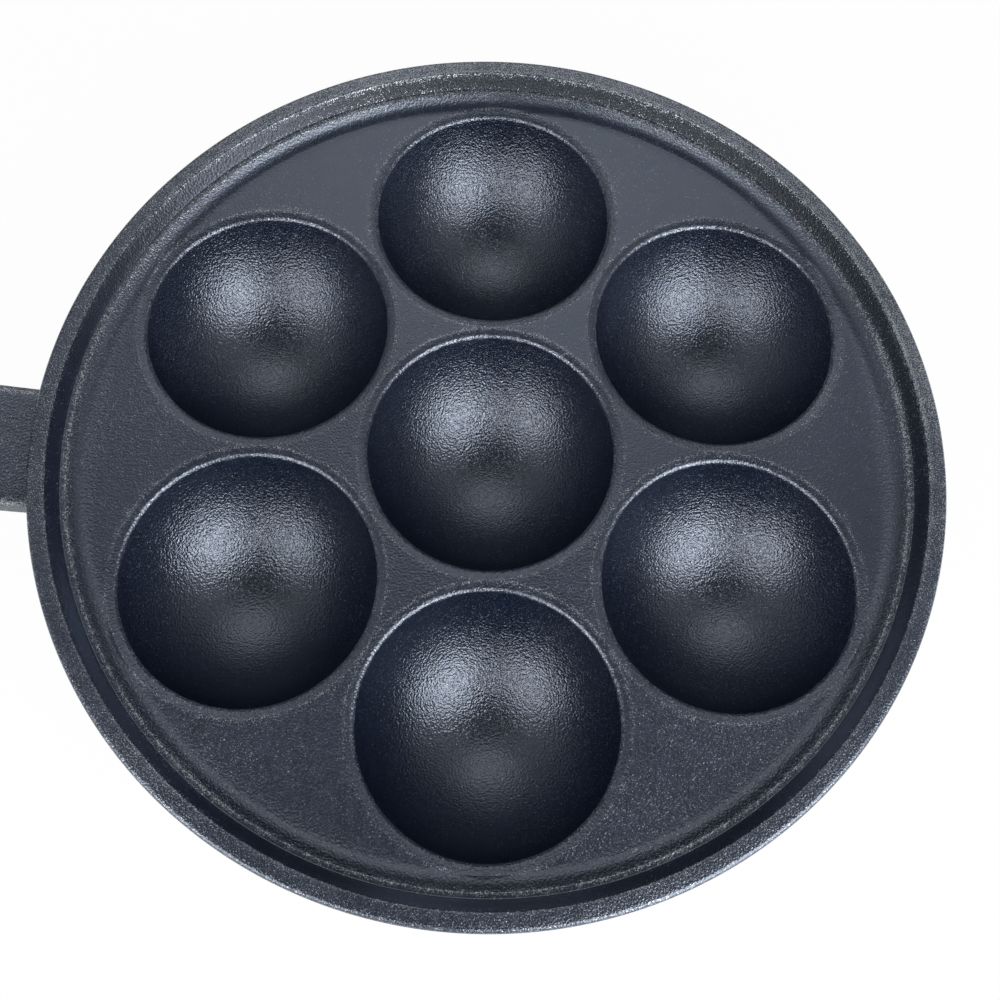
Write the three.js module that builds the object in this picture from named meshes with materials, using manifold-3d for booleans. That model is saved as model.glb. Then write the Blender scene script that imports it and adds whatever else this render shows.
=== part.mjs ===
// An aebleskiver pan: an iron casting with seven bowls, a wooden grip on a tie rod, and a hanging ring.
// Lengths are millimetres and angles radians. +Z is up, the origin is under the middle bowl on the plane that
// the pan stands on, and the handle points along -X.

import * as THREE from "three";
import { mergeVertices } from "three/addons/utils/BufferGeometryUtils.js";
import Module from "manifold-3d";

const wasm = await Module();
wasm.setup();

// Bowls and plate
const wellPitch = 66; // middle bowl to each of the bowls around it
const outerWellCount = 6;
const firstWellTurnShare = 0.5; // the handle lies midway between two bowls
const bowlMouthRadius = 30.5;
const bowlDepth = 26; // below the sharp edge of the mouth
const bowlWall = 4;
const footCut = 1; // what the flat foot takes off the round underside
const lipWidth = 2.3; // the soft ring around each mouth
const lipRise = 0.5;
const lipRunOut = 1.2; // how the cut for it widens where the rim rises beside a bowl
const plateThickness = 4.5;

// Rim
const rimOuterRadius = 110.2;
const rimLandWidth = 4.4;
const rimHeight = 6.1; // above the plate
const rimWallRun = 2.55; // how far the inner wall leans in from the land to the ledge
const ledgeWidth = 1.35; // a narrow ledge runs round the foot of the inner wall
const ledgeHeightShare = 0.4; // of the rim's height
const ledgeEdgeRadius = 0.3;
const rimFootRun = 2.4; // how far the wall under the ledge leans in
const rimFilletRadius = 6;
const rimEdgeRadius = 1.2;
const skirtDrop = 7; // below the plate's underside
const skirtThickness = 4.6;
const skirtDraft = 1.1; // how far the outer wall draws in from the land to the bottom
const skirtFilletRadius = 3;

// Arm and socket, cast with the pan
const armRise = THREE.MathUtils.degToRad(16.5);
const armTopDrop = 3.1; // from the bowls' mouths down to the arm's top, at the rim's outer wall
const armThickness = 7;
const armRootWidth = 31;
const armNeckWidth = 19;
const armLength = 44;
const armEmbed = 3.5;
const armEdge = 1;
const armStraightShare = 0.4;
const armBendShare = 0.75;
const socketFlareLength = 26;
const socketLength = 8;
const socketRadius = 13.5;
const socketEdgeRadius = 1.2;
const spigotLength = 7;
const socketBoreDepth = 22;

// Grip and hardware, on the arm's axis
const seatGap = 0.3; // between pieces that seat on each other
const ferruleRadius = 13;
const ferruleWall = 1;
const ferruleLength = 16;
const ferruleEdge = 0.4;
const gripLength = 100; // the part that shows
const gripFrontRadius = 13.2;
const gripSwellRadius = 15.6;
const gripTailRadius = 12.8;
const gripFrontEdge = 0.8;
const gripTailEdge = 2.6;
const rodRadius = 3;
const washerRadius = 9.5;
const washerThickness = 1.4;
const washerDish = 0.9;
const washerSeatRadius = 6.4;
const eyeCollarRadius = 6;
const eyeCollarLength = 6;
const eyeCollarEdge = 0.8;
const eyeRodDepth = 4.5;
const eyeRadius = 6.4;
const eyeThickness = 5;
const eyeEdge = 1;
const eyeSink = 1.2; // how far the eye runs into its collar
const ringRadius = 16; // to the middle of the wire
const ringWireRadius = 1.7;
const ringPlay = 0.6; // between the wire and the hole that it hangs in

const cutOverrun = 1;
const mergeTolerance = 1e-4;

// Counts of facets
const castingSegments = 60;
const bowlSegments = 32;
const bowlRings = 7;
const footSegments = 24;
const footRings = 4;
const edgeSteps = 2;
const filletSteps = 4;
const turnedSegments = 24;
const swellSteps = 8;
const flareSteps = 7;
const outlineSteps = 6;
const ringSegments = 36;
const wireSegments = 8;
const holeSegments = 16;

// Places that follow from the sizes
const sphereRadius = (bowlMouthRadius ** 2 + bowlDepth ** 2) / (2 * bowlDepth);
const mouthZ = bowlDepth + bowlWall - footCut;
const sphereZ = mouthZ - bowlDepth + sphereRadius;
const plateTopZ = mouthZ + lipRise;
const plateUnderZ = plateTopZ - plateThickness;
const rimTopZ = plateTopZ + rimHeight;
const skirtBottomZ = plateUnderZ - skirtDrop;
const armAxisZ = mouthZ - armTopDrop - armThickness / 2 / Math.cos(armRise);

// Stations along the handle, from the rim's outer wall outward
const socketShoulderX = armLength + socketLength;
const spigotEndX = socketShoulderX + spigotLength;
const socketBoreX = spigotEndX - socketBoreDepth;
const ferruleStartX = socketShoulderX + seatGap;
const ferruleEndX = ferruleStartX + ferruleLength;
const gripTenonX = spigotEndX + seatGap;
const gripShoulderX = ferruleEndX + seatGap;
const gripEndX = gripShoulderX + gripLength;
const washerX = gripEndX + seatGap;
const eyeCollarX = washerX + washerThickness + washerDish + seatGap;
const eyeX = eyeCollarX + eyeCollarLength + eyeRadius - eyeSink;
const spigotRadius = ferruleRadius - ferruleWall - seatGap;
const rodBoreRadius = rodRadius + seatGap;

const ironMaterial = { color: 0x30343b, roughness: 0.62, metalness: 0.35 };
const steelMaterial = { color: 0xb9bcc0, roughness: 0.34, metalness: 1 };
const woodMaterial = { color: 0x8a5a34, roughness: 0.55, metalness: 0 };

function point(x, y) {
  return new THREE.Vector2(x, y);
}

function arc(centreX, centreY, radius, fromAngle, toAngle, steps) {
  return Array.from({ length: steps + 1 }, (_, k) => {
    const angle = fromAngle + ((toAngle - fromAngle) * k) / steps;
    return point(centreX + radius * Math.cos(angle), centreY + radius * Math.sin(angle));
  });
}

// Corners are [x, y], or [x, y, radius, steps] where an arc of that radius rounds them.
function rounded(corners) {
  const points = corners.map(([x, y]) => point(x, y));
  return points.flatMap((corner, i) => {
    const [, , radius = 0, steps = edgeSteps] = corners[i];
    if (radius === 0) return [corner];
    const back = points[i - 1].clone().sub(corner).normalize();
    const onward = points[i + 1].clone().sub(corner).normalize();
    const halfAngle = Math.acos(back.dot(onward)) / 2;
    const turn = -Math.sign(back.cross(onward)) * (Math.PI - 2 * halfAngle);
    const start = corner.clone().addScaledVector(back, radius / Math.tan(halfAngle));
    const middle = back.clone().add(onward).normalize();
    const centre = corner.clone().addScaledVector(middle, radius / Math.sin(halfAngle));
    return Array.from({ length: steps + 1 }, (_, k) =>
      start.clone().rotateAround(centre, (turn * k) / steps),
    );
  });
}

// A profile of (radius, height) turned about the upright axis.
function turnedUpright(profile, segments) {
  return new THREE.LatheGeometry(profile, segments).rotateX(Math.PI / 2);
}

// A profile of (radius, station) turned about the handle's axis.
function turnedAlong(profile, segments = turnedSegments) {
  return new THREE.LatheGeometry(profile, segments).rotateZ(-Math.PI / 2);
}

function toSolid(geometry, matrix = new THREE.Matrix4()) {
  const bare = geometry.clone().applyMatrix4(matrix);
  bare.deleteAttribute("normal");
  bare.deleteAttribute("uv");
  const merged = mergeVertices(bare, mergeTolerance);
  const vertProperties = merged.attributes.position.array;
  const triVerts = new Uint32Array(merged.index.array);
  return new wasm.Manifold(new wasm.Mesh({ numProp: 3, vertProperties, triVerts }));
}

function toGeometry(solid) {
  const mesh = solid.getMesh();
  const geometry = new THREE.BufferGeometry();
  geometry.setAttribute("position", new THREE.BufferAttribute(mesh.vertProperties, 3));
  geometry.setIndex(new THREE.BufferAttribute(mesh.triVerts, 1));
  geometry.computeVertexNormals();
  return geometry;
}

// The handle's own frame: X runs outward along its axis from the rim's outer wall.
const handle = new THREE.Group();
handle.position.set(-rimOuterRadius, 0, armAxisZ);
handle.rotation.set(0, armRise, Math.PI);
handle.updateMatrixWorld(true);

function wellPlaces() {
  const places = [new THREE.Matrix4()];
  for (let k = 0; k < outerWellCount; k++) {
    const angle = ((k + firstWellTurnShare) / outerWellCount) * 2 * Math.PI;
    const place = new THREE.Matrix4();
    places.push(place.makeTranslation(wellPitch * Math.cos(angle), wellPitch * Math.sin(angle), 0));
  }
  return places;
}

// Plate, rim and skirt in one turned profile
function plateAndRim() {
  const landRadius = rimOuterRadius - rimLandWidth;
  const skirtOuterRadius = rimOuterRadius - skirtDraft;
  const skirtInnerRadius = skirtOuterRadius - skirtThickness;
  const ledgeOuterRadius = landRadius - rimWallRun;
  const ledgeInnerRadius = ledgeOuterRadius - ledgeWidth;
  const ledgeZ = plateTopZ + rimHeight * ledgeHeightShare;
  const profile = rounded([
    [0, plateUnderZ],
    [skirtInnerRadius - skirtDraft, plateUnderZ, skirtFilletRadius, filletSteps],
    [skirtInnerRadius, skirtBottomZ, rimEdgeRadius],
    [skirtOuterRadius, skirtBottomZ, rimEdgeRadius],
    [rimOuterRadius, rimTopZ, rimEdgeRadius],
    [landRadius, rimTopZ, rimEdgeRadius],
    [ledgeOuterRadius, ledgeZ],
    [ledgeInnerRadius, ledgeZ, ledgeEdgeRadius],
    [ledgeInnerRadius - rimFootRun, plateTopZ, rimFilletRadius, filletSteps],
    [0, plateTopZ],
  ]);
  return turnedUpright(profile, castingSegments);
}

// The round underside of a bowl, with its flat foot, up to the middle of the plate
function bowlShell() {
  const shellRadius = sphereRadius + bowlWall;
  const topZ = plateTopZ - plateThickness / 2;
  const footAngle = Math.asin(-sphereZ / shellRadius);
  const topAngle = Math.asin((topZ - sphereZ) / shellRadius);
  const side = arc(0, sphereZ, shellRadius, footAngle, topAngle, footRings);
  return turnedUpright([point(0, 0), ...side, point(0, topZ)], footSegments);
}

// What a bowl and the soft ring around its mouth take out of the plate
function bowlHollow() {
  const mouthAngle = Math.asin((mouthZ - sphereZ) / sphereRadius);
  const side = arc(0, sphereZ, sphereRadius, -Math.PI / 2, mouthAngle, bowlRings);
  const lipRadius = bowlMouthRadius + lipWidth;
  const lip = point(lipRadius, plateTopZ);
  const above = point(lipRadius + lipRunOut, plateTopZ + cutOverrun);
  return turnedUpright([...side, lip, above, point(0, above.y)], bowlSegments);
}

// The flat arm, seen from above: nearly straight at the rim, drawn in to a neck at the socket
function armBar() {
  const straightX = armLength * armStraightShare;
  const bendX = armLength * armBendShare;
  const endX = armLength + socketLength / 2;
  const root = armRootWidth / 2;
  const neck = armNeckWidth / 2;
  const outline = new THREE.Shape();
  outline.moveTo(-armEmbed, -root);
  outline.lineTo(straightX, -root);
  outline.bezierCurveTo(bendX, -root, bendX, -neck, armLength, -neck);
  outline.lineTo(endX, -neck);
  outline.lineTo(endX, neck);
  outline.lineTo(armLength, neck);
  outline.bezierCurveTo(bendX, neck, bendX, root, straightX, root);
  outline.lineTo(-armEmbed, root);
  outline.closePath();
  const bar = new THREE.ExtrudeGeometry(outline, {
    depth: armThickness - 2 * armEdge,
    bevelThickness: armEdge,
    bevelSize: armEdge,
    bevelOffset: -armEdge,
    bevelSegments: edgeSteps,
    curveSegments: outlineSteps,
  });
  return bar.translate(0, 0, armEdge - armThickness / 2);
}

// The socket swells out of the arm, and its spigot carries the ferrule.
function socket() {
  const flare = Array.from({ length: flareSteps }, (_, k) => {
    const share = k / flareSteps;
    const swell = (1 - Math.cos(Math.PI * share)) / 2;
    return [socketRadius * swell, armLength - socketFlareLength * (1 - share)];
  });
  const corners = [
    ...flare,
    [socketRadius, armLength],
    [socketRadius, socketShoulderX, socketEdgeRadius],
    [spigotRadius, socketShoulderX],
    [spigotRadius, spigotEndX],
    [0, spigotEndX],
  ];
  return turnedAlong(rounded(corners));
}

function socketBore() {
  const endX = spigotEndX + cutOverrun;
  const corners = [
    [0, socketBoreX],
    [rodBoreRadius, socketBoreX],
    [rodBoreRadius, endX],
    [0, endX],
  ];
  return turnedAlong(rounded(corners), holeSegments);
}

function panCasting() {
  const places = wellPlaces();
  let casting = toSolid(plateAndRim());
  for (const part of [armBar(), socket()]) casting = casting.add(toSolid(part, handle.matrixWorld));
  for (const place of places) casting = casting.add(toSolid(bowlShell(), place));
  for (const place of places) casting = casting.subtract(toSolid(bowlHollow(), place));
  return toGeometry(casting.subtract(toSolid(socketBore(), handle.matrixWorld)));
}

// A drawn steel collar over the socket's spigot and the grip's tenon
function ferrule() {
  const inner = ferruleRadius - ferruleWall;
  const profile = rounded([
    [inner, ferruleStartX],
    [ferruleRadius, ferruleStartX, ferruleEdge],
    [ferruleRadius, ferruleEndX, ferruleEdge],
    [inner, ferruleEndX],
    [inner, ferruleStartX],
  ]);
  return turnedAlong(profile);
}

// The grip swells in the hand: a smooth curve through three radii.
function woodGrip() {
  const curve = new THREE.SplineCurve([
    point(gripFrontRadius, gripShoulderX),
    point(gripSwellRadius, gripShoulderX + gripLength / 2),
    point(gripTailRadius, gripEndX),
  ]);
  const swell = curve.getPoints(swellSteps).slice(1, -1).map(({ x, y }) => [x, y, 0]);
  const profile = rounded([
    [rodBoreRadius, gripTenonX],
    [spigotRadius, gripTenonX],
    [spigotRadius, gripShoulderX],
    [gripFrontRadius, gripShoulderX, gripFrontEdge],
    ...swell,
    [gripTailRadius, gripEndX, gripTailEdge],
    [rodBoreRadius, gripEndX],
    [rodBoreRadius, gripTenonX],
  ]);
  return turnedAlong(profile);
}

// The rod that draws the grip against the socket
function tieRod() {
  const startX = socketBoreX + seatGap;
  const endX = eyeCollarX + eyeRodDepth - seatGap;
  const corners = [
    [0, startX],
    [rodRadius, startX],
    [rodRadius, endX],
    [0, endX],
  ];
  return turnedAlong(rounded(corners), holeSegments);
}

// A dished washer: its outer edge lies on the grip, and the eye nut presses on its middle.
function endWasher() {
  const faceX = washerX + washerThickness;
  const profile = [
    point(rodBoreRadius, washerX),
    point(washerRadius, washerX),
    point(washerRadius, washerX + washerThickness / 2),
    point(washerSeatRadius, faceX + washerDish),
    point(rodBoreRadius, faceX + washerDish),
    point(rodBoreRadius, washerX),
  ];
  return turnedAlong(profile);
}

// A turned collar with a flat eye: blind bore for the rod, cross hole for the ring
function eyeNut() {
  const collarEndX = eyeCollarX + eyeCollarLength;
  const collar = turnedAlong(rounded([
    [0, eyeCollarX],
    [eyeCollarRadius, eyeCollarX, eyeCollarEdge],
    [eyeCollarRadius, collarEndX, eyeCollarEdge],
    [0, collarEndX],
  ]));
  const half = eyeThickness / 2;
  const eye = new THREE.LatheGeometry(rounded([
    [0, -half],
    [eyeRadius, -half, eyeEdge],
    [eyeRadius, half, eyeEdge],
    [0, half],
  ]), turnedSegments).translate(eyeX, 0, 0);
  const holeRadius = ringWireRadius + ringPlay;
  const holeLength = eyeThickness + 2 * cutOverrun;
  const hole = new THREE.CylinderGeometry(holeRadius, holeRadius, holeLength, holeSegments);
  const boreLength = eyeRodDepth + cutOverrun;
  const bore = new THREE.CylinderGeometry(rodBoreRadius, rodBoreRadius, boreLength, holeSegments);
  bore.rotateZ(Math.PI / 2).translate(eyeCollarX + eyeRodDepth - boreLength / 2, 0, 0);
  const body = toSolid(collar).add(toSolid(eye));
  return toGeometry(body.subtract(toSolid(hole.translate(eyeX, 0, 0))).subtract(toSolid(bore)));
}

// The ring lies across the handle and hangs by its own weight.
function hangingRing() {
  return new THREE.TorusGeometry(ringRadius, ringWireRadius, wireSegments, ringSegments).rotateY(Math.PI / 2);
}

function mesh(name, geometry, material) {
  const made = new THREE.Mesh(geometry, new THREE.MeshStandardMaterial(material));
  made.name = name;
  return made;
}

const pan = new THREE.Group();
pan.add(mesh("pan_casting", panCasting(), ironMaterial));
handle.add(mesh("handle_ferrule", ferrule(), steelMaterial));
handle.add(mesh("wood_grip", woodGrip(), woodMaterial));
handle.add(mesh("tie_rod", tieRod(), steelMaterial));
handle.add(mesh("end_washer", endWasher(), steelMaterial));
handle.add(mesh("eye_nut", eyeNut(), steelMaterial));
pan.add(handle);

const ring = mesh("hanging_ring", hangingRing(), steelMaterial);
ring.position.copy(handle.localToWorld(new THREE.Vector3(eyeX, 0, 0)));
ring.position.z -= ringRadius;
pan.add(ring);

export default pan;
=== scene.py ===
import math

import bmesh
import bpy
import numpy as np
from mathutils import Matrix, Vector


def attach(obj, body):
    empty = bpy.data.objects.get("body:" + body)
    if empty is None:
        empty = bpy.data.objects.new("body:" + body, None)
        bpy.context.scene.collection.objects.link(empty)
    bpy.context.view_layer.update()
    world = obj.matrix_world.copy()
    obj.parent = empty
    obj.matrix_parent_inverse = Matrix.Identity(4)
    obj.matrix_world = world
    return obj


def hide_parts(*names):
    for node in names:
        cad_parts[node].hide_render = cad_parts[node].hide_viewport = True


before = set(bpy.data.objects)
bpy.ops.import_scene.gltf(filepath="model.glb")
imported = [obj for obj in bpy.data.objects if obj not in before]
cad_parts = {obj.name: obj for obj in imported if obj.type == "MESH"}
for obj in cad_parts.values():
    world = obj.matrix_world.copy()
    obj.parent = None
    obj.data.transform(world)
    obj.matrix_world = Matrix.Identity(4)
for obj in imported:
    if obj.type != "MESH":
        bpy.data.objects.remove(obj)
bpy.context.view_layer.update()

# An aebleskiver pan: seven round bowls in one iron casting, a turned wooden grip and a ring to hang it by.
# Sizes are millimetres in the model's frame: +Z up, the handle along -X, the pan standing on z = 0.

mm = 0.001

pan = {
    "bowlPitch": 66,  # middle bowl to each bowl around it
    "bowlsAround": 6,
    "mouthRadius": 30.5,
    "bowlDepth": 26,
    "bowlWall": 4,
    "footCut": 1,  # what the flat foot takes off the round underside
    "footEdge": 0.15,
    "mouthEdge": 1.4,
    "lipWidth": 2.3,
    "lipRise": 0.5,
    "lipRunOut": 0.6,  # how steeply it ends where the rim rises beside it
    "lipCrest": 16,  # higher is a sharper outer line of the lip
    "plateThickness": 4.5,
    "underFillet": 0.6,  # higher is a tighter fillet between the bowls from below
    "rimRadius": 110.2,
    "landWidth": 4.4,
    "rimHeight": 6.1,
    "rimWallRun": 2.4,
    "ledgeWidth": 1.3,  # a narrow ledge round the foot of the rim's inner wall
    "ledgeShare": 0.4,  # of the rim's height
    "ledgeEdge": 0.35,
    "rimFootRun": 2.9,
    "rimFillet": 6,
    "landEdge": 0.9,
    "rimEdge": 1.2,
    "skirtDrop": 7,
    "skirtThickness": 4.6,
    "skirtDraft": 1.1,
    "skirtFillet": 3,
    "topCircle": 98.4,  # where the plate hands over to the rim, above and below
    "underCircle": 100.3,
    "unevenness": 0.05,  # of the cast faces
    "rimSteps": 480,
    "bowlStep": 2.5,  # degrees between the lines that run down a bowl
    "bowlRings": 30,
    "underBends": (32.3, 32.8, 33.2, 33.6, 34.0, 34.5, 35.3),  # rings in the fillets under the plate
    "rimStretch": 1.3,  # no stretch of the rim's outline is longer
}

handle = {  # the cast arm with its socket, and what the pieces on it share
    "riseDegrees": 16.5,
    "topDrop": 3.1,  # from the mouths down to the arm's top, at the rim
    "thickness": 7,
    "rootWidth": 31,
    "embed": 2.8,
    "armLength": 44,
    "armStep": 0.9,
    "socketRadius": 13.5,
    "socketLength": 8,
    "socketEdge": 1.2,
    "spigotRadius": 11.7,
    "spigotLength": 7,
    "boreDepth": 22,
    "boreRadius": 3.3,
    "seatGap": 0.3,
}

# Heights and radii that follow from the sizes
bowlSphere = (pan["mouthRadius"] ** 2 + pan["bowlDepth"] ** 2) / (2 * pan["bowlDepth"])
mouthZ = pan["bowlDepth"] + pan["bowlWall"] - pan["footCut"]
sphereZ = mouthZ - pan["bowlDepth"] + bowlSphere
plateTop = mouthZ + pan["lipRise"]
plateUnder = plateTop - pan["plateThickness"]
rimTop = plateTop + pan["rimHeight"]
skirtBottom = plateUnder - pan["skirtDrop"]
landRadius = pan["rimRadius"] - pan["landWidth"]
ledgeOuter = landRadius - pan["rimWallRun"]
ledgeInner = ledgeOuter - pan["ledgeWidth"]
ledgeRise = pan["rimHeight"] * pan["ledgeShare"]
footRadius = ledgeInner - pan["rimFootRun"]
sweepStart = footRadius - pan["rimFillet"] * math.tan(math.atan2(ledgeRise, pan["rimFootRun"]) / 2)
skirtOuter = pan["rimRadius"] - pan["skirtDraft"]
skirtInner = skirtOuter - pan["skirtThickness"]
halfPitch = pan["bowlPitch"] / 2
rise = math.radians(handle["riseDegrees"])
axisZ = mouthZ - handle["topDrop"] - handle["thickness"] / 2 / math.cos(rise)

# Stations along the handle, from the rim's outer wall outward. The pieces on it add theirs below.
socketEnd = handle["armLength"] + handle["socketLength"]
spigotEnd = socketEnd + handle["spigotLength"]
boreStart = spigotEnd - handle["boreDepth"]

turns = [(k + 0.5) * 2 * math.pi / pan["bowlsAround"] for k in range(pan["bowlsAround"])]
centres = [(0, 0)] + [(pan["bowlPitch"] * math.cos(a), pan["bowlPitch"] * math.sin(a)) for a in turns]

handleOut = np.array([-math.cos(rise), 0, math.sin(rise)])
handleSide = np.array([0, -1, 0])
handleUp = np.array([math.sin(rise), 0, math.cos(rise)])
handleRoot = np.array([-pan["rimRadius"], 0, axisZ])


# Corners are (x, y), or (x, y, radius, steps) where an arc rounds them.
def rounded(corners):
    flat = [np.array(corner[:2], float) for corner in corners]
    points = []
    for i, corner in enumerate(corners):
        if len(corner) == 2:
            points.append(flat[i])
            continue
        radius, steps = corner[2:]
        back = (flat[i - 1] - flat[i]) / np.linalg.norm(flat[i - 1] - flat[i])
        onward = (flat[i + 1] - flat[i]) / np.linalg.norm(flat[i + 1] - flat[i])
        half = math.acos(float(back @ onward)) / 2
        middle = (back + onward) / np.linalg.norm(back + onward)
        centre = flat[i] + middle * radius / math.sin(half)
        start = flat[i] + back * radius / math.tan(half) - centre
        side = np.sign(onward[0] * back[1] - onward[1] * back[0])
        for k in range(steps + 1):
            angle = side * (math.pi - 2 * half) * k / steps
            cos, sin = math.cos(angle), math.sin(angle)
            points.append(centre + [cos * start[0] - sin * start[1], sin * start[0] + cos * start[1]])
    return np.array(points)


def divided(points, longest):  # no stretch of the outline is longer than this
    dense = [points[0]]
    for here, there in zip(points[:-1], points[1:]):
        parts = max(1, math.ceil(np.linalg.norm(there - here) / longest))
        dense += [here + (there - here) * k / parts for k in range(1, parts + 1)]
    return np.array(dense)


def smoothLowest(surfaces, sharpness):  # the lowest of several heights, rounded where they meet
    stack = np.stack(surfaces)
    low = stack.min(axis=0)
    return low - np.log(np.exp(-sharpness * (stack - low)).sum(axis=0)) / sharpness


def fromCentres(x, y):
    return [np.hypot(x - cx, y - cy) for cx, cy in centres]


def plateHeight(radius):  # the plate's top, which sweeps up toward the ledge
    onSweep = np.maximum(radius - sweepStart, 0)
    return plateTop + pan["rimFillet"] - np.sqrt(pan["rimFillet"] ** 2 - onSweep**2)


def topHeight(x, y, base):  # the plate and the soft ring round each mouth
    slope = pan["lipRise"] / pan["lipWidth"]
    lips = []
    for r in fromCentres(x, y):
        beyond = np.maximum(r - pan["mouthRadius"] - pan["lipWidth"], 0)
        lips.append(mouthZ + (r - pan["mouthRadius"]) * slope + beyond * pan["lipRunOut"])
    return smoothLowest([base, *lips], pan["lipCrest"])


def flatUnder(radius):
    return np.full_like(radius, plateUnder)


def underHeight(x, y, base):  # the plate and the round undersides of the bowls
    shell = bowlSphere + pan["bowlWall"]
    rounds = [
        np.where(r < shell, sphereZ - np.sqrt(np.maximum(shell**2 - r**2, 0)), base + shell)
        for r in fromCentres(x, y)
    ]
    blended = smoothLowest([base, *rounds], pan["underFillet"])
    edge = pan["footEdge"]
    bend = np.maximum(edge - np.abs(blended), 0) / edge
    return np.maximum(blended, 0) + bend**2 * edge / 4


def uneven(x, y):  # a slow, shallow swell like that of a sand casting
    waves = [(0.11, 0.05, 0.4), (-0.06, 0.13, 1.9), (0.17, -0.12, 4.1), (0.03, 0.23, 2.7), (-0.29, 0.08, 0.9)]
    total = sum(np.sin(kx * x + ky * y + phase) for kx, ky, phase in waves)
    return pan["unevenness"] * total / len(waves)


# The lines of a bowl's share of the plate: their turns and how far each one reaches. The middle bowl's share
# is a hexagon. The others have three straight sides and an arc that faces the rim.
def cellLines(outer, circle):
    step = math.radians(pan["bowlStep"])
    sixth = math.pi / 3
    if not outer:
        turn = np.arange(0, 2 * math.pi - step / 2, step)
        return turn, halfPitch / np.cos((turn + sixth / 2) % sixth - sixth / 2)
    count = pan["rimSteps"] // pan["bowlsAround"]
    onRim = np.linspace(-sixth / 2, sixth / 2, count + 1)
    ahead, aside = circle * np.cos(onRim) - pan["bowlPitch"], circle * np.sin(onRim)
    rimCorner, backCorner, straightBack = math.atan2(aside[-1], ahead[-1]), 2.5 * sixth, 3 * sixth
    sideCount = math.ceil((backCorner - rimCorner) / step)
    side = np.linspace(rimCorner, backCorner, sideCount + 1)[1:]
    back = np.arange(backCorner + step, straightBack + step / 2, step)
    half = np.concatenate([side, back])
    reach = halfPitch / np.cos(half - np.where(half <= backCorner + 1e-9, 2 * sixth, straightBack))
    turn = np.concatenate([np.arctan2(aside, ahead), half, 2 * math.pi - half[-2::-1]])
    return turn, np.concatenate([np.hypot(ahead, aside), reach, reach[-2::-1]])


# Rings from a bowl's edge to the ends of its lines: at set radii where the shape bends, then by shares.
def ringsOut(start, reach, bends, spread):
    shares = np.linspace(0, 1, len(bends) + 3)[1:-2]
    near = [np.minimum(bend, start + (reach - start) * share) for bend, share in zip(bends, shares)]
    return near + [near[-1] + (reach - near[-1]) * share for share in spread]


def cellGrid(index, circle, inner, bends, spread, height, base):
    turn, reach = cellLines(index > 0, circle)
    rings = [np.full_like(turn, r) for r, _ in inner] + ringsOut(inner[-1][0], reach, bends, spread)
    facing = turns[index - 1] if index else turns[0]
    cx, cy = centres[index]
    grid = []
    for k, radius in enumerate(rings):
        x = cx + radius * np.cos(turn + facing)
        y = cy + radius * np.sin(turn + facing)
        own = inner[k][1] if k < len(inner) else None
        z = height(x, y, base(np.hypot(x, y))) if own is None else np.full_like(x, own)
        grid.append(np.stack([x, y, z], axis=-1))
    return np.array(grid)


def bowlProfile():  # radius and height from the middle of a bowl to its lip
    slope = pan["lipRise"] / pan["lipWidth"]
    mouthAngle = math.asin((mouthZ - sphereZ) / bowlSphere)
    down = np.array([math.sin(mouthAngle), -math.cos(mouthAngle)])
    before = np.array([pan["mouthRadius"], mouthZ]) + 2 * down
    after = (pan["mouthRadius"] + 1, mouthZ + slope)
    edge = rounded([tuple(before), (pan["mouthRadius"], mouthZ, pan["mouthEdge"], 8), after])[1:]
    edgeAngle = math.atan2(edge[0][1] - sphereZ, edge[0][0])
    angles = np.linspace(-math.pi / 2, edgeAngle, pan["bowlRings"])
    arc = [(bowlSphere * math.cos(a), sphereZ + bowlSphere * math.sin(a)) for a in angles[:-1]]
    return arc + [tuple(p) for p in edge[:-1]]


def underProfile():  # radii only: the heights come from underHeight
    shell = bowlSphere + pan["bowlWall"]
    foot = math.sqrt(shell**2 - sphereZ**2)
    onFoot = [0, 0.3 * foot, 0.6 * foot]
    footEdge = [foot + step for step in (-1.3, -0.7, -0.35, 0, 0.35, 0.7, 1.3)]
    angles = np.radians(np.arange(18, 67, 3))
    return onFoot + footEdge + [shell * math.sin(a) for a in angles]


def rimGrid():
    profile = rounded([
        (sweepStart - 1, plateTop),
        (footRadius, plateTop, pan["rimFillet"], 24),
        (ledgeInner, plateTop + ledgeRise, pan["ledgeEdge"], 5),
        (ledgeOuter, plateTop + ledgeRise, pan["ledgeEdge"], 4),
        (landRadius, rimTop, pan["landEdge"], 8),
        (pan["rimRadius"], rimTop, pan["rimEdge"], 8),
        (skirtOuter, skirtBottom, pan["rimEdge"], 6),
        (skirtInner, skirtBottom, pan["rimEdge"], 6),
        (skirtInner - pan["skirtDraft"], plateUnder, pan["skirtFillet"], 8),
        (pan["underCircle"], plateUnder),
    ])
    first = int(np.argmax(profile[:, 0] > pan["topCircle"] + 0.05))
    start = (pan["topCircle"], plateHeight(pan["topCircle"]))
    profile = divided(np.concatenate([[start], profile[first:]]), pan["rimStretch"])
    turn = np.arange(pan["rimSteps"]) * 2 * math.pi / pan["rimSteps"]
    onTop = int(np.argmax(profile[:, 1]))
    grid = []
    for k, (radius, z) in enumerate(profile):
        x, y = radius * np.cos(turn), radius * np.sin(turn)
        height = np.full_like(x, z)
        if k < onTop and radius < ledgeInner:
            height = topHeight(x, y, height)
        if k > onTop and z > skirtBottom + pan["skirtDrop"] / 2 and radius < skirtInner:
            height = underHeight(x, y, height)
        grid.append(np.stack([x, y, height], axis=-1))
    return np.array(grid)


def settle(points):  # the swell of the cast faces, which leaves the feet flat
    x, y, z = points.T
    lift = np.clip(z / mouthZ, 0, 1) ** 2
    points[:, 2] += uneven(x, y) * lift
    pull = 1 - pan["unevenness"] * mm * (1 + np.sin(7 * np.arctan2(y, x) + z / 9)) * lift
    points[:, 0] *= pull
    points[:, 1] *= pull
    return points


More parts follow.
